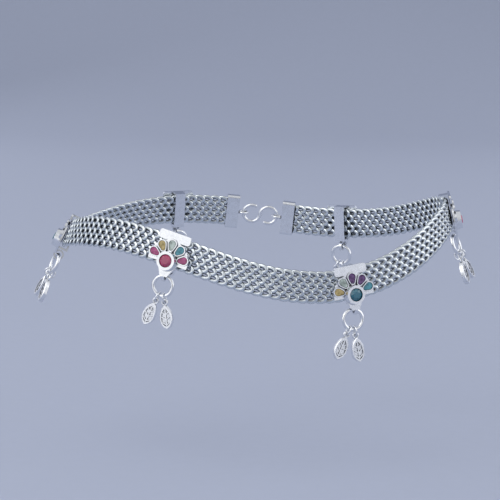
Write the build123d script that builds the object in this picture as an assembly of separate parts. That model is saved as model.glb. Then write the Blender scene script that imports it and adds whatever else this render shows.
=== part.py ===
from build123d import *
from math import asin, cos, degrees, hypot, pi, radians, sin
import os

# Payal anklet, worn form.  Millimetres.  Origin: centre of the ankle at the height of the band,
# +Z up the leg, -X towards the toes, +X towards the heel, -Y the side that is seen.

# ---------------------------------------------------------------- sizes
HALF_LENGTH = 50.0        # loop, toe to heel, to the middle of the band
HALF_WIDTH = 36.8         # loop, side to side
BAND_WIDTH = 8.2
BAND_THICKNESS = 1.6
BAND_ROWS = 5             # rows of links lying side by side
ROW_GROOVE = 0.22         # depth of the groove between two rows
BAND_SECTIONS = 56        # sections that the band is lofted through
STATIONS = 6
STATION_START = 2.5       # first station, measured along the band from the toe end

# Height of the band round the loop: one row for each harmonic of the angle from the toe end.
HEIGHT_WAVE = [           # harmonic, cosine part, sine part
    (1, 0.2, -2.4),
    (2, 2.9, 1.7),
    (3, -3.2, 0.9),
]
# Lean of the band's upper edge inwards, in degrees, in the same harmonics.
LEAN_WAVE = [             # harmonic, cosine part, sine part
    (0, 11.6, 0.0),
    (1, 7.5, 0.0),
    (2, 7.6, 0.0),
]
# How the drops of each station hang: outwards from upright, sideways along the band, and
# with their face turned along the band.
HANG = [                  # out, side, turn (degrees)
    (26, 0, 19),
    (6, -8, 0),
    (5, -11, 0),
    (22, 0, -19),
    (6, 5, 0),
    (6, -4, 0),
]

GAP = 0.12                # play between pieces that touch in life
FIT = 0.06                # play round a stone or an enamel fill

# Sleeve, plate and tongue
SHEET = 0.5
SLEEVE_LENGTH = 2.8
SLEEVE_PLAY = 0.28
STRIP_HALF = 4.3          # plain strip along the band's upper edge
STRIP_DEPTH = 2.3
FAN_RADIUS = 5.35
TONGUE_DROP = 6.5         # eyelet's centre below the middle of the band
TONGUE_TIP_HALF = 0.95
EYELET_HOLE = 0.96
EYELET_WALL = 0.4
EYELET_HALF = 0.34

# Flower: stone, collet and petals
FLOWER_Y = -2.5           # stone's centre below the middle of the band
COLLET_BASE = 2.65
COLLET_TOP = 2.35
COLLET_HEIGHT = 1.7
STONE_RADIUS = 1.62
TABLE_RADIUS = 0.9
CROWN = 0.55
GIRDLE = 0.12
PAVILION = 0.75
PETALS = 5
PETAL_STEP = 36.0         # degrees between petals
PETAL_REACH = 4.05        # petal's centre from the stone's centre
PETAL_LONG = 1.28         # half lengths
PETAL_WIDE = 0.92
CELL_WALL = 0.24
CELL_HEIGHT = 0.5

# Rings and drops
JUMP_RADIUS = 2.55
JUMP_WIRE = 0.5
SMALL_INNER = 0.98
SMALL_WIRE = 0.225
SMALL_SPREAD = 17.0       # degrees each side of the lowest point
LOOP_RADIUS = 0.66
LOOP_WIRE = 0.28
DROP_LENGTH = 6.3
DROP_HALF_WIDTH = 1.65
DROP_THICKNESS = 1.2
DROP_RIM = 0.46
DROP_RECESS = 0.32

# Clasp
CLASP_HALF = 7.0          # band's end from the middle of the clasp
CAP_COVER = 2.6
CAP_WALL = 0.45
CAP_LOOP_AT = 4.75
CAP_LOOP_RADIUS = 1.15
CAP_LOOP_WIRE = 0.4
HOOK_RADIUS = 2.33
HOOK_WIRE = 0.5
HOOK_TURN = 290.0


# ---------------------------------------------------------------- the loop
def wave(rows, angle):
    return sum(even * cos(harmonic * angle) + odd * sin(harmonic * angle)
               for harmonic, even, odd in rows)


def loop_point(angle):
    """Middle of the band; angle 0 is the toe end and grows along the near side to the heel."""
    return Vector(-HALF_LENGTH * cos(angle), -HALF_WIDTH * sin(angle), wave(HEIGHT_WAVE, angle))


def length_table(steps=1440):
    """Angle and length along the band, from the toe end once round."""
    table, total, last = [(0.0, 0.0)], 0.0, loop_point(0.0)
    for i in range(1, steps + 1):
        angle = 2 * pi * i / steps
        point = loop_point(angle)
        total += (point - last).length
        table.append((angle, total))
        last = point
    return table


LENGTHS = length_table()
LOOP_LENGTH = LENGTHS[-1][1]


def angle_at(along):
    """Angle of the place that lies this far along the band."""
    along %= LOOP_LENGTH
    low, high = 0, len(LENGTHS) - 1
    while high - low > 1:
        middle = (low + high) // 2
        if LENGTHS[middle][1] <= along:
            low = middle
        else:
            high = middle
    (a0, s0), (a1, s1) = LENGTHS[low], LENGTHS[high]
    return a0 + (a1 - a0) * (along - s0) / (s1 - s0)


def band_plane(along):
    """Local frame of the band: x along it, y to its upper edge, z outwards."""
    angle = angle_at(along)
    step = 1e-4
    tangent = (loop_point(angle + step) - loop_point(angle - step)).normalized()
    outward = Vector(-tangent.Y, tangent.X, 0).normalized() * -1
    upward = (Vector(0, 0, 1) - tangent * tangent.Z).normalized()
    lean = radians(wave(LEAN_WAVE, angle))
    width = (upward * cos(lean) - outward * sin(lean)).normalized()
    width = (width - tangent * width.dot(tangent)).normalized()
    return Plane(origin=loop_point(angle), x_dir=tangent, z_dir=tangent.cross(width))


# ---------------------------------------------------------------- band
def band_section(along):
    """Five lobes across the band, one for each row of links, in the plane across it."""
    frame = band_plane(along)
    pitch = BAND_WIDTH / BAND_ROWS
    crest, groove = BAND_THICKNESS / 2, BAND_THICKNESS / 2 - ROW_GROOVE

    def place(y, z):
        return frame.from_local_coords(Vector(0, y, z))

    edges = []
    for side in (1, -1):
        for row in range(BAND_ROWS):
            y0 = side * (-BAND_WIDTH / 2 + row * pitch)
            y1 = side * (-BAND_WIDTH / 2 + (row + 1) * pitch)
            ends = [y0, y1]
            if row == 0:
                ends[0] = y0 + side * groove
            if row == BAND_ROWS - 1:
                ends[1] = y1 - side * groove
            middle = (ends[0] + ends[1]) / 2
            edges.append(Edge.make_three_point_arc(
                place(ends[0], side * groove), place(middle, side * crest),
                place(ends[1], side * groove)))
        edge_y = side * BAND_WIDTH / 2
        edges.append(Edge.make_three_point_arc(
            place(edge_y - side * groove, side * groove), place(edge_y, 0),
            place(edge_y - side * groove, -side * groove)))
    return Wire(edges)


def make_band(clasp):
    start, end = clasp + CLASP_HALF - LOOP_LENGTH, clasp - CLASP_HALF
    count = BAND_SECTIONS
    sections = [band_section(start + (end - start) * i / count) for i in range(count + 1)]
    return Solid.make_loft(sections)


# ---------------------------------------------------------------- flower station
def petal_angles():
    first = 90 - PETAL_STEP * (PETALS - 1) / 2
    return [first + PETAL_STEP * i for i in range(PETALS)]


def petal_frame(angle, height):
    x = PETAL_REACH * cos(radians(angle))
    y = FLOWER_Y + PETAL_REACH * sin(radians(angle))
    return Pos(x, y, height) * Rot(0, 0, angle)


def petal_sketch(grow):
    """A petal: broad and round outside, narrower towards the stone."""
    long_half, wide = PETAL_LONG + grow, PETAL_WIDE + grow
    inner = wide * 0.62
    return make_hull([
        Pos(long_half - wide, 0) * Circle(wide).edge(),
        Pos(-long_half + inner, 0) * Circle(inner).edge(),
    ])


def make_plate():
    face_z = BAND_THICKNESS / 2 + GAP
    front = face_z + SHEET
    tip = -TONGUE_DROP
    top = BAND_WIDTH / 2 + SLEEVE_PLAY + SHEET
    tongue = make_face(Polyline([
        (-COLLET_BASE, FLOWER_Y - 0.5), (-TONGUE_TIP_HALF, tip), (TONGUE_TIP_HALF, tip),
        (COLLET_BASE, FLOWER_Y - 0.5), (-COLLET_BASE, FLOWER_Y - 0.5)]))
    fan = Pos(0, FLOWER_Y) * Circle(FAN_RADIUS)
    fan &= Pos(0, FLOWER_Y - 0.6 + FAN_RADIUS) * Rectangle(2 * FAN_RADIUS, 2 * FAN_RADIUS)
    strip = Pos(0, top - STRIP_DEPTH / 2) * RectangleRounded(
        2 * STRIP_HALF, STRIP_DEPTH, 0.7)
    hub = Pos(0, FLOWER_Y) * Circle(COLLET_BASE + 0.1)
    sheet = Pos(0, 0, face_z) * extrude(tongue + fan + strip + hub, SHEET)

    # sleeve round the band
    half_y = BAND_WIDTH / 2 + SLEEVE_PLAY
    back = -BAND_THICKNESS / 2 - SLEEVE_PLAY - SHEET
    outer = Pos(0, 0, (back + front) / 2) * Box(
        SLEEVE_LENGTH, 2 * (half_y + SHEET), front - back)
    hollow = Pos(0, 0, (back + SHEET + face_z) / 2) * Box(
        SLEEVE_LENGTH + 1, 2 * half_y, face_z - back - SHEET)
    body = sheet + (outer - hollow)

    # petal cells
    for angle in petal_angles():
        wall = extrude(petal_sketch(FIT + CELL_WALL), CELL_HEIGHT + 0.1)
        body += petal_frame(angle, front - 0.1) * wall

    # collet for the stone
    collet = Pos(0, FLOWER_Y, front - 0.1 + (COLLET_HEIGHT + 0.1) / 2) * Cone(
        COLLET_BASE, COLLET_TOP, COLLET_HEIGHT + 0.1)
    body += collet
    for angle in petal_angles():
        cell = extrude(petal_sketch(FIT), CELL_HEIGHT + 1)
        body -= petal_frame(angle, front + 0.08) * cell
    body += Pos(0, FLOWER_Y, front - 0.1 + (COLLET_HEIGHT + 0.1) / 2) * Cone(
        COLLET_BASE - 0.15, COLLET_TOP, COLLET_HEIGHT + 0.1)
    seat_depth = CROWN * 0.45 + GIRDLE + PAVILION + FIT
    top = front + COLLET_HEIGHT
    body -= Pos(0, FLOWER_Y, top - seat_depth / 2 + 0.5) * Cylinder(
        STONE_RADIUS + FIT, seat_depth + 1)

    # tongue rolled into an eyelet
    tube_z = front - EYELET_HOLE - EYELET_WALL
    tube = Pos(0, tip, tube_z) * Rot(0, 90, 0) * Cylinder(
        EYELET_HOLE + EYELET_WALL, 2 * EYELET_HALF)
    web = Pos(0, tip + 0.8, front - SHEET / 2) * Box(2 * EYELET_HALF, 1.6, SHEET)
    body += tube + web
    body -= Pos(0, tip, tube_z) * Rot(0, 90, 0) * Cylinder(EYELET_HOLE, 4)
    return body.solids()[0] if len(body.solids()) == 1 else body


def polygon(points):
    return Face(Wire.make_polygon([Vector(*p) for p in points], close=True))


def make_stone():
    """Round cut stone: table, 24 crown facets, girdle of 16 sides and 16 pavilion facets."""
    front = BAND_THICKNESS / 2 + GAP + SHEET
    top = front + COLLET_HEIGHT + CROWN * 0.55
    z1, z2, z3 = top - CROWN, top - CROWN - GIRDLE, top - CROWN - GIRDLE - PAVILION

    def ring(radius, count, z, turn=0.0):
        return [(radius * cos(2 * pi * i / count + turn),
                 radius * sin(2 * pi * i / count + turn) + FLOWER_Y, z) for i in range(count)]

    table = ring(TABLE_RADIUS, 8, top, pi / 8)
    upper, lower = ring(STONE_RADIUS, 16, z1), ring(STONE_RADIUS, 16, z2)
    culet = (0, FLOWER_Y, z3)
    faces = [polygon(table)]
    for i in range(8):
        a, b, c = upper[2 * i], upper[2 * i + 1], upper[(2 * i + 2) % 16]
        faces += [polygon([table[i], a, b]), polygon([table[i], b, c]),
                  polygon([table[i], c, table[(i + 1) % 8]])]
    for i in range(16):
        j = (i + 1) % 16
        faces.append(polygon([upper[i], lower[i], lower[j], upper[j]]))
        faces.append(polygon([lower[i], culet, lower[j]]))
    return Solid(Shell(faces))


def make_petals():
    front = BAND_THICKNESS / 2 + GAP + SHEET
    fills = []
    for angle in petal_angles():
        fill = extrude(petal_sketch(0), CELL_HEIGHT - 0.1 - FIT)
        fill = chamfer(fill.faces().sort_by(Axis.Z)[-1].edges(), 0.1)
        fills.append(petal_frame(angle, front + 0.08 + FIT) * fill)
    return fills


# ---------------------------------------------------------------- hanging pieces
def ring_solid(radius, wire):
    return Solid.make_torus(radius, wire)


def make_jump_ring():
    return Pos(0, -JUMP_RADIUS, 0) * ring_solid(JUMP_RADIUS, JUMP_WIRE)


def on_jump_ring(side):
    """Frame at the jump ring's centre whose -y points out through this small ring."""
    return Pos(0, -JUMP_RADIUS, 0) * Rot(0, 0, side * SMALL_SPREAD)


SMALL_AT = JUMP_RADIUS + SMALL_INNER - JUMP_WIRE - GAP
LOOP_AT = SMALL_AT + SMALL_INNER - LOOP_WIRE - GAP + LOOP_RADIUS
DROP_TOP = LOOP_AT + LOOP_RADIUS - 0.2


def make_small_ring(side):
    ring = Pos(0, -SMALL_AT, 0) * Rot(0, 90, 0) * ring_solid(
        SMALL_INNER + SMALL_WIRE, SMALL_WIRE)
    return on_jump_ring(side) * ring


def leaf(length, half_width, top):
    """Leaf outline from two pairs of arcs, broadest a little below the middle."""
    broad = top - length * 0.56
    with BuildSketch() as shape:
        with BuildLine():
            ThreePointArc((0, top), (half_width * 0.78, top - length * 0.26), (half_width, broad))
            ThreePointArc((half_width, broad), (half_width * 0.74, top - length * 0.84),
                          (0, top - length))
            ThreePointArc((0, top - length), (-half_width * 0.74, top - length * 0.84),
                          (-half_width, broad))
            ThreePointArc((-half_width, broad), (-half_width * 0.78, top - length * 0.26),
                          (0, top))
        make_face()
    return shape.sketch


def make_drop(side):
    """Leaf drop: raised rim, recessed field on both faces with raised veins, loop on top."""
    half, bevel = DROP_THICKNESS / 2, 0.14
    small = leaf(DROP_LENGTH - 2.6 * bevel, DROP_HALF_WIDTH - bevel, -DROP_TOP - 1.3 * bevel)
    full = leaf(DROP_LENGTH, DROP_HALF_WIDTH, -DROP_TOP)
    body = loft([Pos(0, 0, -half) * small, Pos(0, 0, bevel - half) * full,
                 Pos(0, 0, half - bevel) * full, Pos(0, 0, half) * small], ruled=True)
    inner = leaf(DROP_LENGTH - DROP_RIM * 3.7, DROP_HALF_WIDTH - DROP_RIM,
                 -DROP_TOP - DROP_RIM * 2.1)
    for z in (half - DROP_RECESS, -half - 1):
        body -= Pos(0, 0, z) * extrude(inner, DROP_RECESS + 1)

    middle = -DROP_TOP - DROP_LENGTH * 0.54
    thick = DROP_THICKNESS - 0.2
    veins = Pos(0, middle, 0) * Box(0.32, DROP_LENGTH, thick)
    for step in (-1, 0, 1):
        for turn in (1, -1):
            vein = Pos(turn * 0.75, 0, 0) * Box(1.6, 0.3, thick)
            veins += Pos(0, middle + step * 1.3 - 0.5, 0) * Rot(0, 0, turn * 38) * vein
    field = leaf(DROP_LENGTH - DROP_RIM * 3.2, DROP_HALF_WIDTH - DROP_RIM * 0.8,
                 -DROP_TOP - DROP_RIM * 1.8)
    body += veins & (Pos(0, 0, -half) * extrude(field, DROP_THICKNESS))
    body += Pos(0, -LOOP_AT, 0) * ring_solid(LOOP_RADIUS, LOOP_WIRE)
    return on_jump_ring(side) * body


# ---------------------------------------------------------------- clasp
def make_end_cap(side):
    """Cap over the band's end, local x towards the clasp when side is 1, with its loop."""
    inner_y = BAND_WIDTH / 2 + GAP
    inner_z = BAND_THICKNESS / 2 + GAP
    wall_x = GAP
    outer = Pos(side * (wall_x + CAP_WALL * 1.6 - (CAP_COVER + wall_x + CAP_WALL * 1.6) / 2), 0, 0)
    outer *= Box(CAP_COVER + wall_x + CAP_WALL * 1.6, 2 * (inner_y + CAP_WALL),
                 2 * (inner_z + CAP_WALL))
    outer = fillet(outer.edges().filter_by(Axis.X), 0.7)
    hollow = Pos(side * (wall_x - 2), 0, 0) * Box(4, 2 * inner_y, 2 * inner_z)
    reach = CLASP_HALF - CAP_LOOP_AT
    loop = Pos(side * reach, 0, 0) * Rot(90, 0, 0) * ring_solid(CAP_LOOP_RADIUS, CAP_LOOP_WIRE)
    body = outer - hollow
    return body + loop


def make_hook():
    """S-hook: two turns of wire that meet in the middle."""
    turn = radians(HOOK_TURN)

    def point(centre, angle):
        return (centre + HOOK_RADIUS * cos(angle), HOOK_RADIUS * sin(angle), 0)

    left = Edge.make_three_point_arc(
        point(-HOOK_RADIUS, 0), point(-HOOK_RADIUS, turn / 2), point(-HOOK_RADIUS, turn))
    right = Edge.make_three_point_arc(
        point(HOOK_RADIUS, pi), point(HOOK_RADIUS, pi + turn / 2), point(HOOK_RADIUS, pi + turn))
    parts = []
    for arc in (left, right):
        start = Plane(origin=arc @ 0, z_dir=arc % 0)
        parts.append(sweep(start * Circle(HOOK_WIRE), path=arc))
        parts.append(Pos(*(arc @ 1)) * Sphere(HOOK_WIRE))
    body = parts[0] + parts[1] + parts[2] + parts[3]
    return body


# ---------------------------------------------------------------- placing
def hang_plane(frame, out, side, turned):
    """Frame at the tongue's eyelet: y against the way the drops hang, z outwards."""
    front = BAND_THICKNESS / 2 + GAP + SHEET
    eyelet = frame.from_local_coords(
        Vector(0, -TONGUE_DROP, front - EYELET_HOLE - EYELET_WALL))
    slope = asin(frame.x_dir.Z)
    lean = max(-0.31, min(0.31, radians(side) - slope))
    down = frame.y_dir * -cos(lean) + frame.x_dir * sin(lean)
    across = frame.x_dir * cos(lean) + frame.y_dir * sin(lean)
    rise = radians(out) - asin(frame.z_dir.Z)
    outward = frame.z_dir * cos(rise) - down * sin(rise)
    turn = radians(turned)
    return Plane(origin=eyelet, x_dir=across * cos(turn) - outward * sin(turn),
                 z_dir=outward * cos(turn) + across * sin(turn))


def put(frame, shape):
    return frame.location * shape


def build():
    nodes = {}
    interval = LOOP_LENGTH / STATIONS
    clasp = STATION_START + 4.5 * interval      # half way from the fifth station to the sixth
    nodes["band"] = make_band(clasp)

    left_frame, right_frame = band_plane(clasp - CLASP_HALF), band_plane(clasp + CLASP_HALF)
    nodes["end_cap_left"] = put(left_frame, make_end_cap(1))
    nodes["end_cap_right"] = put(right_frame, make_end_cap(-1))
    reach = CLASP_HALF - CAP_LOOP_AT
    loop_left = left_frame.from_local_coords(Vector(reach, 0, 0))
    loop_right = right_frame.from_local_coords(Vector(-reach, 0, 0))
    middle = band_plane(clasp)
    hook_frame = Plane(origin=(loop_left + loop_right) * 0.5, x_dir=loop_right - loop_left,
                       z_dir=middle.z_dir)
    nodes["clasp_hook"] = put(hook_frame, make_hook())

    plate, stone, petals = make_plate(), make_stone(), make_petals()
    jump = make_jump_ring()
    smalls = {side: make_small_ring(side) for side in (-1, 1)}
    drops = {side: make_drop(side) for side in (-1, 1)}
    names = {-1: "left", 1: "right"}
    for k, (out, side_lean, turned) in enumerate(HANG, start=1):
        frame = band_plane(STATION_START + (k - 1) * interval)
        nodes[f"station_plate_{k}"] = put(frame, plate)
        nodes[f"stone_{k}"] = put(frame, stone)
        nodes[f"enamel_petals_{k}"] = Compound([put(frame, petal) for petal in petals])
        hang = hang_plane(frame, out, side_lean, turned)
        nodes[f"jump_ring_{k}"] = put(hang, jump)
        for side, name in names.items():
            nodes[f"small_ring_{k}_{name}"] = put(hang, smalls[side])
            nodes[f"drop_{k}_{name}"] = put(hang, drops[side])
    return nodes


def main():
    os.makedirs("parts", exist_ok=True)
    for name, shape in build().items():
        export_step(shape, f"parts/{name}.step")


main()
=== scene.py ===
import math
import random

import bpy
import numpy as np
from mathutils import Matrix, Vector


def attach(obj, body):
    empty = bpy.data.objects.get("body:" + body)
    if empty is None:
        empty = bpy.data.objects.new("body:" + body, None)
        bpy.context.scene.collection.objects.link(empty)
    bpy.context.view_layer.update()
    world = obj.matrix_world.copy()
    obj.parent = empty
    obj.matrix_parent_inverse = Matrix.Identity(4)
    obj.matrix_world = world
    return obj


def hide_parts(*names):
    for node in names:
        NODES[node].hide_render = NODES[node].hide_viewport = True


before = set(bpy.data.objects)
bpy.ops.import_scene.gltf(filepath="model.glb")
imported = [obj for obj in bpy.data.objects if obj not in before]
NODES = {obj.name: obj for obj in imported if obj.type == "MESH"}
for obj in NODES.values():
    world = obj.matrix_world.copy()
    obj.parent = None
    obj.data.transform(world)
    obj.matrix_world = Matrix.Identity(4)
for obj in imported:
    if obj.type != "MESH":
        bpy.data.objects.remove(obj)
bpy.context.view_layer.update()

bl_info = {
    "name": "Payal anklet",
    "version": (1, 0, 0),
    "blender": (4, 5, 0),
    "location": "View3D > Sidebar > Anklet",
    "description": "Linked band, enamel flower stations and leaf drops of a worn payal anklet",
    "category": "Object",
}

MM = 0.001
TAU = 2 * math.pi
STATIONS = 6
SIDES = ("left", "right")
CLASP_PLACE = STATIONS - 1.5  # in steps from flower to flower, halfway between the last two

# Height and inward lean of the band round the loop, one row for each harmonic of the angle.
HEIGHT_WAVE = [  # harmonic, cosine part and sine part in mm
    (1, 0.2, -2.4),
    (2, 2.9, 1.7),
    (3, -3.2, 0.9),
]
LEAN_WAVE = [  # harmonic, cosine part and sine part in degrees
    (0, 11.6, 0.0),
    (1, 7.5, 0.0),
    (2, 7.6, 0.0),
]

# The two kinds of flower by turns: the stone, then its five petals from left to right.
TEAL_FLOWER = ("teal", "yellow", "mint", "violet", "violet", "teal")
PINK_FLOWER = ("pink", "magenta", "yellow", "mint", "teal", "magenta")
FLOWERS = (TEAL_FLOWER, PINK_FLOWER) * (STATIONS // 2)

# Painted light on a link, from 0 for the deepest painted shade to 1 for the brightest painted
# highlight.
INNER_START = -0.1  # cosine of the turn round the wire where the inside of a ring starts
INNER_SHADE = 0.25  # painted shade there, on the inside of the ring
FLANK_LIGHT = 0.85  # painted light on the outer flanks
CREST_HIGHLIGHT = 0.15  # painted highlight the flanks gain towards the crest
LOW_LIGHT = 0.7  # share of the painted light left where a link lies low in the band
PROUD_HIGHLIGHT = 0.6  # painted highlight added to that share where a link stands proud
EDGE_START = 0.6  # half wires inside the middle of the outermost wire: there a painted highlight brightens the edge
SHADE_START = 1.3  # painted shade = start - fall * painted light
SHADE_FALL = 1.4

# Name of the links' layer of painted shade.
SHADE_LAYER = "recess"
SILVER_FINISH_AND_SHADE = {  # (reach, low and high of the painted crevice shade), roughness, scratches, bump
    "silver_links": (None, 0.16, 0.3, 0.35),  # painted shade from the mesh's shade layer instead
    "silver_plain": ((0.0007, 0.25, 0.75), 0.18, 0.3, 0.25),
    "silver_wire": ((0.0003, 0.2, 0.6), 0.14, 0.4, 0.3),
    "silver_cast": ((0.0005, 0.3, 0.8), 0.22, 0.6, 0.5),
}
CLOUDED_SILVER = (0.62, 0.63, 0.67)
SCRATCH_DEPTH = 0.00004  # metres, like the ripples
RIPPLE_DEPTH = 0.00006  # of the enamel's face
FACET_STEP = 0.06  # two facets have one tone where their directions differ by less than about this
STONE_IOR = 1.76

# Soft lamps, each aimed at the middle of the loop. The power is a share of a stage setting.
LAMPS = [  # name, place, width, height, setting, share
    ("key", (-0.48, -0.42, 0.62), 0.7, 0.7, "key", 1.0),
    ("side_right", (0.75, 0.05, 0.34), 0.95, 0.7, "fill", 1.0),
    ("side_left", (-0.8, 0.1, 0.34), 0.95, 0.7, "fill", 0.75),
    ("front_left", (-0.6, -0.68, 0.15), 0.8, 0.4, "front", 1.0),
    ("front_right", (0.72, -0.52, 0.16), 0.9, 0.4, "front", 1.0),
    ("back_left", (-0.52, 0.74, 0.3), 0.8, 0.5, "fill", 0.55),
    ("back_right", (0.55, 0.74, 0.3), 0.8, 0.5, "fill", 0.55),
]
SKY_LOW = (0.2, 0.21, 0.24)
SKY_HIGH = (0.9, 0.92, 0.96)
SKY_STRENGTH = 0.72
CAMERA_AIM = (-0.0022, 0.0, -0.0044)


def length_property(name, description, default, low=0.0, high=1.0):
    return bpy.props.FloatProperty(
        name=name, description=description, default=default, min=low, max=high,
        unit="LENGTH", subtype="DISTANCE", precision=5)


def angle_property(name, description, degrees):
    return bpy.props.FloatProperty(
        name=name, description=description, default=math.radians(degrees),
        unit="ROTATION", subtype="ANGLE")


def colour_property(name, description, default):
    return bpy.props.FloatVectorProperty(
        name=name, description=description, default=default, size=3, min=0, max=1,
        subtype="COLOR")


def factor_property(name, description, default):
    return bpy.props.FloatProperty(
        name=name, description=description, default=default, min=0, max=1,
        subtype="FACTOR")


def power_property(name, description, default):
    return bpy.props.FloatProperty(
        name=name, description=description, default=default, min=0, unit="POWER")


class AnkletBandSettings(bpy.types.PropertyGroup):
    half_length: length_property("Half length", "Loop from its middle to the toe end", 0.050)
    half_width: length_property("Half width", "Loop from its middle to the near side", 0.0368)
    station_start: length_property(
        "First station", "Place of the first flower, along the band from the toe end",
        0.0025, -1.0)
    clasp_half: length_property(
        "Clasp room", "From the middle of the clasp to the band's end", 0.007)
    rows: bpy.props.IntProperty(
        name="Rows", description="Rows of links side by side", default=5, min=1, max=9)
    links_between: bpy.props.IntProperty(
        name="Links between stations", description="Links of one row from flower to flower",
        default=21, min=4, max=60)
    row_pitch: length_property("Row pitch", "Distance between two rows of links", 0.00142)
    link_long: length_property("Link length", "Half length of a link along the band", 0.00132)
    link_wide: length_property("Link width", "Half width of a link across the band", 0.00073)
    link_wire: length_property("Link wire", "Half width of the wire of a link", 0.00056)
    wire_flat: factor_property("Flat wire", "Thickness of the wire against its width", 0.62)
    flatten: factor_property("Flattening", "How much of a link's depth is left", 0.84)
    tilt: angle_property("Tilt", "Lean of a link over the next one", -19)
    stagger: factor_property("Stagger", "Shift of every other row, in links", 0.5)


class AnkletFinishSettings(bpy.types.PropertyGroup):
    silver: colour_property("Silver", "Colour of the plates, rings and drops",
                            (0.87, 0.885, 0.91))
    links: colour_property("Link silver", "Colour of the links of the band",
                           (0.74, 0.79, 0.815))
    # Dark silver mixed in where painted shade falls: in hollows and on the links' inner walls.
    tarnish: colour_property("Tarnish", "Colour of the metal in the recesses",
                             (0.05, 0.056, 0.07))
    pink_stone: colour_property("Pink stone", "Colour of the pink-red stones",
                                (0.5, 0.035, 0.14))
    teal_stone: colour_property("Teal stone", "Colour of the teal stones", (0.0, 0.14, 0.21))
    magenta: colour_property("Magenta enamel", "Colour of the magenta petals",
                             (0.38, 0.035, 0.17))
    yellow: colour_property("Yellow enamel", "Colour of the yellow petals",
                            (0.44, 0.33, 0.11))
    mint: colour_property("Mint enamel", "Colour of the pale green petals",
                          (0.42, 0.5, 0.45))
    teal: colour_property("Teal enamel", "Colour of the teal petals", (0.025, 0.22, 0.28))
    violet: colour_property("Violet enamel", "Colour of the violet petals",
                            (0.095, 0.022, 0.15))


class AnkletStageSettings(bpy.types.PropertyGroup):
    floor_drop: length_property("Floor", "Floor below the middle of the anklet", 0.058)
    backdrop: colour_property("Backdrop", "Colour of the floor and backdrop",
                              (0.42, 0.46, 0.58))
    azimuth: angle_property("Azimuth", "Camera's turn round the anklet", 3.2)
    elevation: angle_property("Elevation", "Camera's height above the horizon", 8)
    distance: length_property("Distance", "Camera from the anklet", 0.594, 0.1, 10.0)
    lens: bpy.props.FloatProperty(
        name="Lens", description="Focal length in millimetres", default=161.3, min=20)
    key: power_property("Key light", "Power of the large soft light", 2.1)
    fill: power_property(
        "Side lights", "Power of the right light; those at the left and behind take a share",
        1.5)
    front: power_property(
        "Front lights", "Power of each of the two lights beside the camera", 0.7)


# ------------------------------------------------------------------ the loop
def wave(rows, angle):
    """Value at an angle of a wave table, a sum of its harmonics."""
    return sum(even * math.cos(harmonic * angle) + odd * math.sin(harmonic * angle)
               for harmonic, even, odd in rows)


class Loop:
    """The middle line of the band; angle 0 is the toe end and grows along the near side."""

    CHORDS = 1440
    STEP = 1e-4  # angle to each side of a point, for the line's direction there

    def __init__(self, band):
        self.half_length = band.half_length
        self.half_width = band.half_width
        self.station_start = band.station_start
        self.angles = np.linspace(0, TAU, self.CHORDS + 1)
        points = [self.point(angle) for angle in self.angles]
        chords = [(b - a).length for a, b in zip(points, points[1:])]
        self.along = np.concatenate([[0.0], np.cumsum(chords)])
        self.length = float(self.along[-1])
        self.interval = self.length / STATIONS

    def station(self, k):
        """Place along the band of a flower, counted from 0, or between two where k is not whole."""
        return self.station_start + k * self.interval

    def point(self, angle):
        return Vector((-self.half_length * math.cos(angle), -self.half_width * math.sin(angle),
                       wave(HEIGHT_WAVE, angle) * MM))

    def frame(self, along):
        """Local frame of the band: x along it, y to its upper edge, z outwards."""
        angle = float(np.interp(along % self.length, self.along, self.angles))
        tangent = (self.point(angle + self.STEP) - self.point(angle - self.STEP)).normalized()
        outward = Vector((tangent.y, -tangent.x, 0)).normalized()
        upward = (Vector((0, 0, 1)) - tangent * tangent.z).normalized()
        lean = math.radians(wave(LEAN_WAVE, angle))
        across = upward * math.cos(lean) - outward * math.sin(lean)
        across = (across - tangent * across.dot(tangent)).normalized()
        matrix = Matrix((tangent, across, tangent.cross(across))).transposed().to_4x4()
        matrix.translation = self.point(angle)
        return matrix


# ------------------------------------------------------------------ mesh helpers
def wire_ring(long_half, wide_half, wire, flat, around=20, sides=8):
    """Points, faces and painted light of one oval ring; flat is the wire's thickness to its width.
    """
    turn = TAU * np.arange(around) / around
    centre = np.stack([long_half * np.cos(turn), wide_half * np.sin(turn), 0 * turn], 1)
    tangent = np.stack([-long_half * np.sin(turn), wide_half * np.cos(turn)], 1)
    tangent /= np.linalg.norm(tangent, axis=1)[:, None]
    normal = np.stack([tangent[:, 1], -tangent[:, 0], 0 * turn], 1)
    side = TAU * np.arange(sides) / sides
    upward = np.array([0.0, 0.0, 1.0])
    points = (centre[:, None, :]
              + wire * np.cos(side)[None, :, None] * normal[:, None, :]
              + flat * wire * np.sin(side)[None, :, None] * upward)
    faces = []
    for i in range(around):
        for j in range(sides):
            a, b = i * sides, ((i + 1) % around) * sides
            k = (j + 1) % sides
            faces.append((a + j, b + j, b + k, a + k))
    # Painted shade on the inside of the ring, painted highlight on the crest of the wire.
    crest = np.abs(np.sin(side))
    painted_light = np.where(np.cos(side) < INNER_START,
                      crest - INNER_SHADE, FLANK_LIGHT + CREST_HIGHLIGHT * crest)
    return points.reshape(-1, 3), np.array(faces), np.tile(painted_light, around)


def joined_mesh(name, points, faces):
    """One smooth piece from points and four-sided faces."""
    mesh = bpy.data.meshes.new(name)
    mesh.vertices.add(len(points))
    mesh.vertices.foreach_set("co", points.astype(np.float32).ravel())
    mesh.loops.add(faces.size)
    mesh.loops.foreach_set("vertex_index", faces.ravel().astype(np.int32))
    mesh.polygons.add(len(faces))
    mesh.polygons.foreach_set("loop_start", np.arange(0, faces.size, 4, dtype=np.int32))
    mesh.update(calc_edges=True)
    mesh.validate()
    mesh.polygons.foreach_set("use_smooth", np.ones(len(faces), bool))
    piece = bpy.data.objects.new(name, mesh)
    bpy.context.scene.collection.objects.link(piece)
    return piece


def dress(node, *materials):
    """Give a piece of the frame its materials, in place of those it came with."""
    mesh = NODES[node].data
    mesh.materials.clear()
    for material in materials:
        mesh.materials.append(material)
    return mesh


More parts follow.
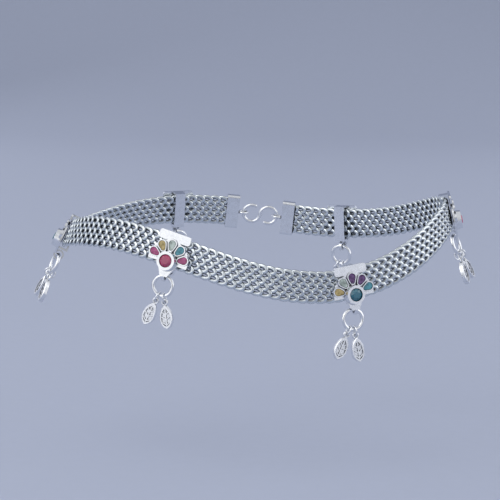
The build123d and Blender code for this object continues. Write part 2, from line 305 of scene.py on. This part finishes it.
# ------------------------------------------------------------------ materials
class Graph:
    """Short calls for making and joining shader nodes in one tree."""

    def __init__(self, tree):
        self.tree = tree

    def node(self, kind, inputs=None, **attributes):
        node = self.tree.nodes.new(kind)
        for key, value in attributes.items():
            setattr(node, key, value)
        self.give_all(node, inputs or {})
        return node

    def give(self, socket, value):
        if isinstance(value, bpy.types.NodeSocket):
            self.tree.links.new(value, socket)
        elif socket.type == "RGBA" and len(value) == 3:
            socket.default_value = (*value, 1.0)
        else:
            socket.default_value = value

    def give_all(self, node, inputs):
        for key, value in inputs.items():
            self.give(node.inputs[key], value)

    def math(self, operation, a, b, clamp=False):
        return self.node("ShaderNodeMath", {0: a, 1: b}, operation=operation,
                         use_clamp=clamp).outputs[0]

    def noise(self, place, scale, detail, roughness=0.5):
        return self.node(
            "ShaderNodeTexNoise",
            {"Vector": place, "Scale": scale, "Detail": detail, "Roughness": roughness},
        ).outputs["Fac"]

    def spread(self, value, low, high, to_low=0.0, to_high=1.0, smooth=False):
        return self.node(
            "ShaderNodeMapRange",
            {"Value": value, "From Min": low, "From Max": high,
             "To Min": to_low, "To Max": to_high},
            interpolation_type="SMOOTHSTEP" if smooth else "LINEAR").outputs["Result"]

    def mix(self, factor, a, b):
        """Mix of two colours, whose sockets have the same names as those of other kinds."""
        factor_socket, a_socket, b_socket, result_socket = 0, 6, 7, 2
        node = self.node("ShaderNodeMix", data_type="RGBA")
        self.give(node.inputs[factor_socket], factor)
        self.give(node.inputs[a_socket], a)
        self.give(node.inputs[b_socket], b)
        return node.outputs[result_socket]

    def bump(self, height, strength, depth):
        return self.node("ShaderNodeBump", {"Height": height, "Strength": strength,
                                            "Distance": depth}).outputs[0]

    def place(self):
        return self.node("ShaderNodeTexCoord").outputs["Object"]


def new_group(name, inputs, outputs):
    tree = bpy.data.node_groups.new(name, "ShaderNodeTree")
    for title, kind in inputs:
        tree.interface.new_socket(name=title, in_out="INPUT", socket_type="NodeSocket" + kind)
    for title, kind in outputs:
        tree.interface.new_socket(name=title, in_out="OUTPUT", socket_type="NodeSocket" + kind)
    graph = Graph(tree)
    given = graph.node("NodeGroupInput").outputs
    return tree, graph, given, graph.node("NodeGroupOutput")


def silver_wear_and_shade_group():
    """Bright silver mixed towards a dark colour where painted shade falls, with faint scratches and
    cloudy patches.
    """
    tree, graph, given, made = new_group(
        "Silver wear",
        [("Silver", "Color"), ("Tarnish", "Color"), ("Recess", "Float"),
         ("Roughness", "Float"), ("Scratches", "Float")],
        [("Colour", "Color"), ("Roughness", "Float"), ("Height", "Float")])
    place = graph.place()
    cloud = graph.noise(place, scale=900.0, detail=3.0)
    fine = graph.noise(place, scale=4200.0, detail=2.0)
    drawn_out = graph.node("ShaderNodeMapping", {"Vector": place, "Scale": (1.0, 1.0, 14.0)})
    scratch = graph.noise(drawn_out.outputs[0], scale=2600.0, detail=3.0, roughness=0.7)
    bright = graph.mix(graph.spread(cloud, 0.35, 0.7, 0.0, 0.22), given["Silver"],
                       CLOUDED_SILVER)
    # Painted shade, made ragged by fine noise.
    ragged_shade = graph.math("ADD", given["Recess"], graph.spread(fine, 0.3, 0.7, -0.09, 0.09),
                        clamp=True)
    rough = graph.math("ADD", given["Roughness"], graph.spread(cloud, 0.3, 0.75, -0.03, 0.09))
    scratched = graph.math("MULTIPLY", scratch, given["Scratches"])
    graph.give_all(made, {
        "Colour": graph.mix(ragged_shade, bright, given["Tarnish"]),
        "Roughness": graph.math("ADD", rough, graph.math("MULTIPLY", ragged_shade, 0.25),
                                clamp=True),
        "Height": graph.math("ADD", scratched, graph.math("MULTIPLY", cloud, 0.6)),
    })
    return tree


def crevice_shade_group():
    """Mask of painted shade in the shape's own hollows, found by ambient occlusion."""
    tree, graph, given, made = new_group(
        "Crevices", [("Reach", "Float"), ("Low", "Float"), ("High", "Float")],
        [("Mask", "Float")])
    openness = graph.node("ShaderNodeAmbientOcclusion", {"Distance": given["Reach"]},
                          samples=8).outputs["AO"]
    graph.give_all(made, {
        "Mask": graph.spread(openness, given["Low"], given["High"], 1.0, 0.0, smooth=True),
    })
    return tree


def shared_group(name, maker):
    return bpy.data.node_groups.get(name) or maker()


def new_material(name):
    material = bpy.data.materials.new(name)
    material.use_nodes = True
    material.node_tree.nodes.clear()
    graph = Graph(material.node_tree)
    shader = graph.node("ShaderNodeBsdfPrincipled")
    graph.node("ShaderNodeOutputMaterial", {"Surface": shader.outputs[0]})
    return material, graph, shader


def silver_material(name, silver):
    crevice_shade, roughness, scratches, bump = SILVER_FINISH_AND_SHADE[name]
    material, graph, shader = new_material(name)
    # Painted shade: the links' shade layer, or ambient occlusion in the hollows of other pieces.
    if crevice_shade is None:
        recess = graph.node("ShaderNodeAttribute", attribute_name=SHADE_LAYER).outputs["Fac"]
    else:
        recess = graph.node("ShaderNodeGroup", dict(zip(("Reach", "Low", "High"), crevice_shade)),
                            node_tree=shared_group("Crevices", crevice_shade_group)).outputs["Mask"]
    wear = graph.node(
        "ShaderNodeGroup",
        {"Silver": silver, "Tarnish": bpy.context.scene.anklet_finish.tarnish,
         "Recess": recess, "Roughness": roughness, "Scratches": scratches},
        node_tree=shared_group("Silver wear", silver_wear_and_shade_group))
    graph.give_all(shader, {
        "Base Color": wear.outputs["Colour"],
        "Roughness": wear.outputs["Roughness"],
        "Normal": graph.bump(wear.outputs["Height"], bump, SCRATCH_DEPTH),
        "Metallic": 1.0,
    })
    return material


def two_tones(colour, deep, gain, lift):
    """A deeper and a lighter tone of a colour."""
    return (tuple(c * deep for c in colour),
            tuple(min(1.0, c * gain + lift) for c in colour))


def enamel_material(name, colour):
    """Glassy enamel: colour pools a little deeper in places, under a clear smooth face."""
    material, graph, shader = new_material(name)
    place = graph.place()
    pool = graph.noise(place, scale=1100.0, detail=3.0)
    speck = graph.noise(place, scale=5200.0, detail=1.0)
    deep, light = two_tones(colour, deep=0.55, gain=1.15, lift=0.05)
    body = graph.mix(graph.spread(pool, 0.35, 0.65), deep, light)
    body = graph.mix(graph.spread(speck, 0.68, 0.75, 0.0, 0.35), body, light)
    graph.give_all(shader, {
        "Base Color": body,
        "Roughness": graph.spread(pool, 0.3, 0.7, 0.12, 0.24),
        "Normal": graph.bump(pool, 0.35, RIPPLE_DEPTH),
        "Coat Weight": 0.3,
        "Coat Roughness": 0.06,
    })
    return material


def stone_material(name, colour):
    """Cut glass with a foiled back; each facet gets a painted reflection, a lighter tone of its
    own.
    """
    material, graph, shader = new_material(name)
    cloud = graph.noise(graph.place(), scale=700.0, detail=2.0)
    # Painted reflection: a random lighter tone for each facet's direction.
    facing = graph.node("ShaderNodeNewGeometry").outputs["True Normal"]
    snapped = graph.node("ShaderNodeVectorMath", {0: facing, 1: (FACET_STEP,) * 3},
                         operation="SNAP").outputs[0]
    facet_glint = graph.node("ShaderNodeTexWhiteNoise", {"Vector": snapped}).outputs["Value"]
    deep, light = two_tones(colour, deep=0.45, gain=1.2, lift=0.12)
    body = graph.mix(graph.spread(cloud, 0.35, 0.65, 0.55, 1.0), deep, colour)
    body = graph.mix(graph.spread(facet_glint, 0.15, 0.95, 0.0, 0.75), body, light)
    graph.give_all(shader, {
        "Base Color": body,
        "Roughness": 0.06,
        "IOR": STONE_IOR,
        "Metallic": 0.0,
        "Transmission Weight": 0.2,
    })
    return material


# ------------------------------------------------------------------ operators
class ANKLET_OT_band(bpy.types.Operator):
    """Weave the band from rows of small links that pass through their neighbours"""
    bl_idname = "anklet.band"
    bl_label = "Band of links"

    SEED = 11
    WOBBLE = 3.5  # degrees of play of a link about each axis
    SLIP = 0.00003  # play of a link across the band
    END_WIRE = 0.6  # share of the wire's half width that a leaning link needs at a row's end

    def execute(self, context):
        points, faces, painted_light = self.weave(context.scene.anklet_band)
        piece = joined_mesh("band_links", points, faces)
        # Painted shade: dark where the painted light of a link is low.
        recess = np.clip(SHADE_START - SHADE_FALL * painted_light, 0, 1)
        layer = piece.data.attributes.new(SHADE_LAYER, "FLOAT", "POINT")
        layer.data.foreach_set("value", recess.astype(np.float32))
        piece.data.materials.append(
            silver_material("silver_links", context.scene.anklet_finish.links))
        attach(piece, "root")
        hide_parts("band")
        return {"FINISHED"}

    def weave(self, band):
        """Points, faces and painted light of all the links, row by row from one end to the other.
        """
        loop = Loop(band)
        pitch = loop.interval / band.links_between
        clasp = loop.station(CLASP_PLACE)
        margin = band.link_long + band.link_wire * self.END_WIRE
        start = clasp + band.clasp_half - loop.length
        end = clasp - band.clasp_half
        ring, ring_faces, ring_light = wire_ring(
            band.link_long, band.link_wide, band.link_wire, band.wire_flat)
        rng = random.Random(self.SEED)
        points, faces, painted_light = [], [], []
        for row in range(band.rows):
            across = (row - (band.rows - 1) / 2) * band.row_pitch
            first = start + margin + (band.stagger * pitch if row % 2 else 0.0)
            count = int((end - margin - first) / pitch) + 1
            for i in range(count):
                local = self.lean_over(ring, band, rng)
                local[:, 1] += across + rng.uniform(-1, 1) * self.SLIP
                place = np.array(loop.frame(first + i * pitch))
                faces.append(ring_faces + len(points) * len(ring))
                points.append(local @ place[:3, :3].T + place[:3, 3])
                painted_light.append(self.painted_light_in_place(local, ring_light, band))
        return np.concatenate(points), np.concatenate(faces), np.concatenate(painted_light)

    def lean_over(self, ring, band, rng):
        """A ring leaning over the next one, with its own small wobble, pressed flat."""
        wobble = [math.radians(rng.uniform(-self.WOBBLE, self.WOBBLE)) for _ in range(3)]
        pose = (Matrix.Rotation(wobble[0], 4, "Z")
                @ Matrix.Rotation(band.tilt + wobble[1], 4, "Y")
                @ Matrix.Rotation(wobble[2], 4, "X"))
        local = ring @ np.array(pose.to_3x3()).T
        local[:, 2] *= band.flatten
        return local

    def painted_light_in_place(self, local, ring_light, band):
        """Painted light of a link: painted highlight where it stands proud or forms the band's
        edge.
        """
        proud = np.abs(local[:, 2]) / band.link_long
        edge = band.row_pitch * (band.rows - 1) / 2 + band.link_wide
        # Painted highlight along the band's outer edges.
        outer = np.clip((np.abs(local[:, 1]) - edge) / band.link_wire + EDGE_START, 0, 1)
        return np.maximum(ring_light * (LOW_LIGHT + PROUD_HIGHLIGHT * proud), outer)


class ANKLET_OT_plates(bpy.types.Operator):
    """Finish the sleeves, petal cells and collets, the end caps and the clasp"""
    bl_idname = "anklet.plates"
    bl_label = "Plates and clasp"

    def execute(self, context):
        plain = silver_material("silver_plain", context.scene.anklet_finish.silver)
        for k in range(1, STATIONS + 1):
            dress(f"station_plate_{k}", plain)
        for node in ("end_cap_left", "end_cap_right", "clasp_hook"):
            dress(node, plain)
        return {"FINISHED"}


class ANKLET_OT_rings(bpy.types.Operator):
    """Finish the jump rings and the small rings"""
    bl_idname = "anklet.rings"
    bl_label = "Rings"

    def execute(self, context):
        wire = silver_material("silver_wire", context.scene.anklet_finish.silver)
        for k in range(1, STATIONS + 1):
            dress(f"jump_ring_{k}", wire)
            for side in SIDES:
                dress(f"small_ring_{k}_{side}", wire)
        return {"FINISHED"}


class ANKLET_OT_drops(bpy.types.Operator):
    """Finish the leaf drops, with painted shade in the field so the rim and veins stand bright"""
    bl_idname = "anklet.drops"
    bl_label = "Leaf drops"

    def execute(self, context):
        cast = silver_material("silver_cast", context.scene.anklet_finish.silver)
        for k in range(1, STATIONS + 1):
            for side in SIDES:
                dress(f"drop_{k}_{side}", cast)
        return {"FINISHED"}


class ANKLET_OT_enamel(bpy.types.Operator):
    """Give each petal its enamel, from left to right round the stone"""
    bl_idname = "anklet.enamel"
    bl_label = "Enamel petals"

    FLOWER_DROP = 0.0025  # middle of the flower below the middle of the band
    PETAL_STEP = 36.0  # degrees from petal to petal

    def execute(self, context):
        finish = context.scene.anklet_finish
        colours = sorted({colour for flower in FLOWERS for colour in flower[1:]})
        enamels = {colour: enamel_material(f"enamel_{colour}", tuple(getattr(finish, colour)))
                   for colour in colours}
        loop = Loop(context.scene.anklet_band)
        for k, (_, *petals) in enumerate(FLOWERS):
            mesh = dress(f"enamel_petals_{k + 1}", *(enamels[colour] for colour in petals))
            to_station = loop.frame(loop.station(k)).inverted()
            leftmost = 90 + self.PETAL_STEP * (len(petals) - 1) / 2
            for face in mesh.polygons:
                spot = to_station @ face.center
                angle = math.degrees(math.atan2(spot.y + self.FLOWER_DROP, spot.x))
                petal = round((leftmost - angle) / self.PETAL_STEP)
                face.material_index = min(max(petal, 0), len(petals) - 1)
        return {"FINISHED"}


class ANKLET_OT_stones(bpy.types.Operator):
    """Finish the cut stones"""
    bl_idname = "anklet.stones"
    bl_label = "Stones"

    def execute(self, context):
        finish = context.scene.anklet_finish
        glass = {colour: stone_material(f"stone_{colour}",
                                        tuple(getattr(finish, f"{colour}_stone")))
                 for colour in ("pink", "teal")}
        for k, flower in enumerate(FLOWERS, start=1):
            dress(f"stone_{k}", glass[flower[0]])
        return {"FINISHED"}


class ANKLET_OT_stage(bpy.types.Operator):
    """Set the pale floor, the soft lights and the camera"""
    bl_idname = "anklet.stage"
    bl_label = "Stage"

    HALF_WIDTH = 6.0
    NEAR = -6.0  # front edge of the floor
    FAR = 0.9  # where the floor starts to turn up
    BEND = 0.5  # radius of the turn
    BEND_STEPS = 16
    WALL_TOP = 2.0  # above the floor
    GRAIN_TONE = 0.985  # the paper's darker grain, against its colour

    def execute(self, context):
        scene = context.scene
        stage = scene.anklet_stage
        self.backdrop(stage)
        self.world(scene)
        for name, place, width, height, setting, share in LAMPS:
            self.lamp(scene, name, place, width, height, getattr(stage, setting) * share)
        self.camera(scene, stage)
        scene.view_settings.view_transform = "Standard"
        return {"FINISHED"}

    def backdrop(self, stage):
        """A floor that turns up into a wall behind, in one sweep."""
        floor = -stage.floor_drop
        profile = [(self.NEAR, floor), (self.FAR, floor)]
        for i in range(1, self.BEND_STEPS + 1):
            turn = math.pi / 2 * i / self.BEND_STEPS
            profile.append((self.FAR + self.BEND * math.sin(turn),
                            floor + self.BEND * (1 - math.cos(turn))))
        profile.append((self.FAR + self.BEND, floor + self.WALL_TOP))
        points = [(x, y, z) for y, z in profile for x in (-self.HALF_WIDTH, self.HALF_WIDTH)]
        faces = [(2 * i, 2 * i + 1, 2 * i + 3, 2 * i + 2) for i in range(len(profile) - 1)]
        piece = joined_mesh("backdrop", np.array(points), np.array(faces))
        material, graph, shader = new_material("backdrop_paper")
        grain = graph.noise(graph.place(), scale=260.0, detail=3.0)
        pale = tuple(stage.backdrop)
        dark = tuple(c * self.GRAIN_TONE for c in pale)
        tone = graph.mix(graph.spread(grain, 0.3, 0.7), dark, pale)
        graph.give_all(shader, {"Base Color": tone, "Roughness": 0.9})
        piece.data.materials.append(material)

    def world(self, scene):
        world = bpy.data.worlds.new("studio")
        scene.world = world
        world.use_nodes = True
        world.node_tree.nodes.clear()
        graph = Graph(world.node_tree)
        direction = graph.node("ShaderNodeTexCoord").outputs["Generated"]
        height = graph.node("ShaderNodeSeparateXYZ", {0: direction}).outputs["Z"]
        tone = graph.mix(graph.spread(height, -0.35, 0.6, smooth=True), SKY_LOW, SKY_HIGH)
        sky = graph.node("ShaderNodeBackground", {"Color": tone, "Strength": SKY_STRENGTH})
        graph.node("ShaderNodeOutputWorld", {"Surface": sky.outputs[0]})

    def lamp(self, scene, name, place, width, height, power):
        light = bpy.data.lights.new(name, "AREA")
        light.shape = "RECTANGLE"
        light.size = width
        light.size_y = height
        light.energy = power
        lamp = bpy.data.objects.new(name, light)
        lamp.location = place
        lamp.rotation_euler = (-Vector(place)).to_track_quat("-Z", "Y").to_euler()
        scene.collection.objects.link(lamp)

    def camera(self, scene, stage):
        turn, rise = stage.azimuth, stage.elevation
        back = Vector((math.sin(turn) * math.cos(rise), -math.cos(turn) * math.cos(rise),
                       math.sin(rise)))
        data = bpy.data.cameras.new("camera")
        data.lens = stage.lens
        camera = bpy.data.objects.new("camera", data)
        camera.location = Vector(CAMERA_AIM) + back * stage.distance
        camera.rotation_euler = (-back).to_track_quat("-Z", "Y").to_euler()
        scene.collection.objects.link(camera)
        scene.camera = camera


OPERATORS = (ANKLET_OT_band, ANKLET_OT_plates, ANKLET_OT_rings, ANKLET_OT_drops,
             ANKLET_OT_enamel, ANKLET_OT_stones, ANKLET_OT_stage)
SETTINGS = (
    ("anklet_band", AnkletBandSettings),
    ("anklet_finish", AnkletFinishSettings),
    ("anklet_stage", AnkletStageSettings),
)


class ANKLET_PT_panel(bpy.types.Panel):
    """Sizes, colours and the steps that make the anklet"""
    bl_label = "Payal anklet"
    bl_idname = "ANKLET_PT_panel"
    bl_space_type = "VIEW_3D"
    bl_region_type = "UI"
    bl_category = "Anklet"

    def draw(self, context):
        for name, group in SETTINGS:
            settings = getattr(context.scene, name)
            box = self.layout.box()
            for setting in group.__annotations__:
                box.prop(settings, setting)
        for operator in OPERATORS:
            self.layout.operator(operator.bl_idname)


def register():
    for name, group in SETTINGS:
        bpy.utils.register_class(group)
        setattr(bpy.types.Scene, name, bpy.props.PointerProperty(type=group))
    for operator in OPERATORS:
        bpy.utils.register_class(operator)
    bpy.utils.register_class(ANKLET_PT_panel)


def unregister():
    bpy.utils.unregister_class(ANKLET_PT_panel)
    for operator in reversed(OPERATORS):
        bpy.utils.unregister_class(operator)
    for name, group in reversed(SETTINGS):
        delattr(bpy.types.Scene, name)
        bpy.utils.unregister_class(group)


def main():
    register()
    for operator in OPERATORS:
        group, name = operator.bl_idname.split(".")
        getattr(getattr(bpy.ops, group), name)()


if __name__ == "__main__":
    main()
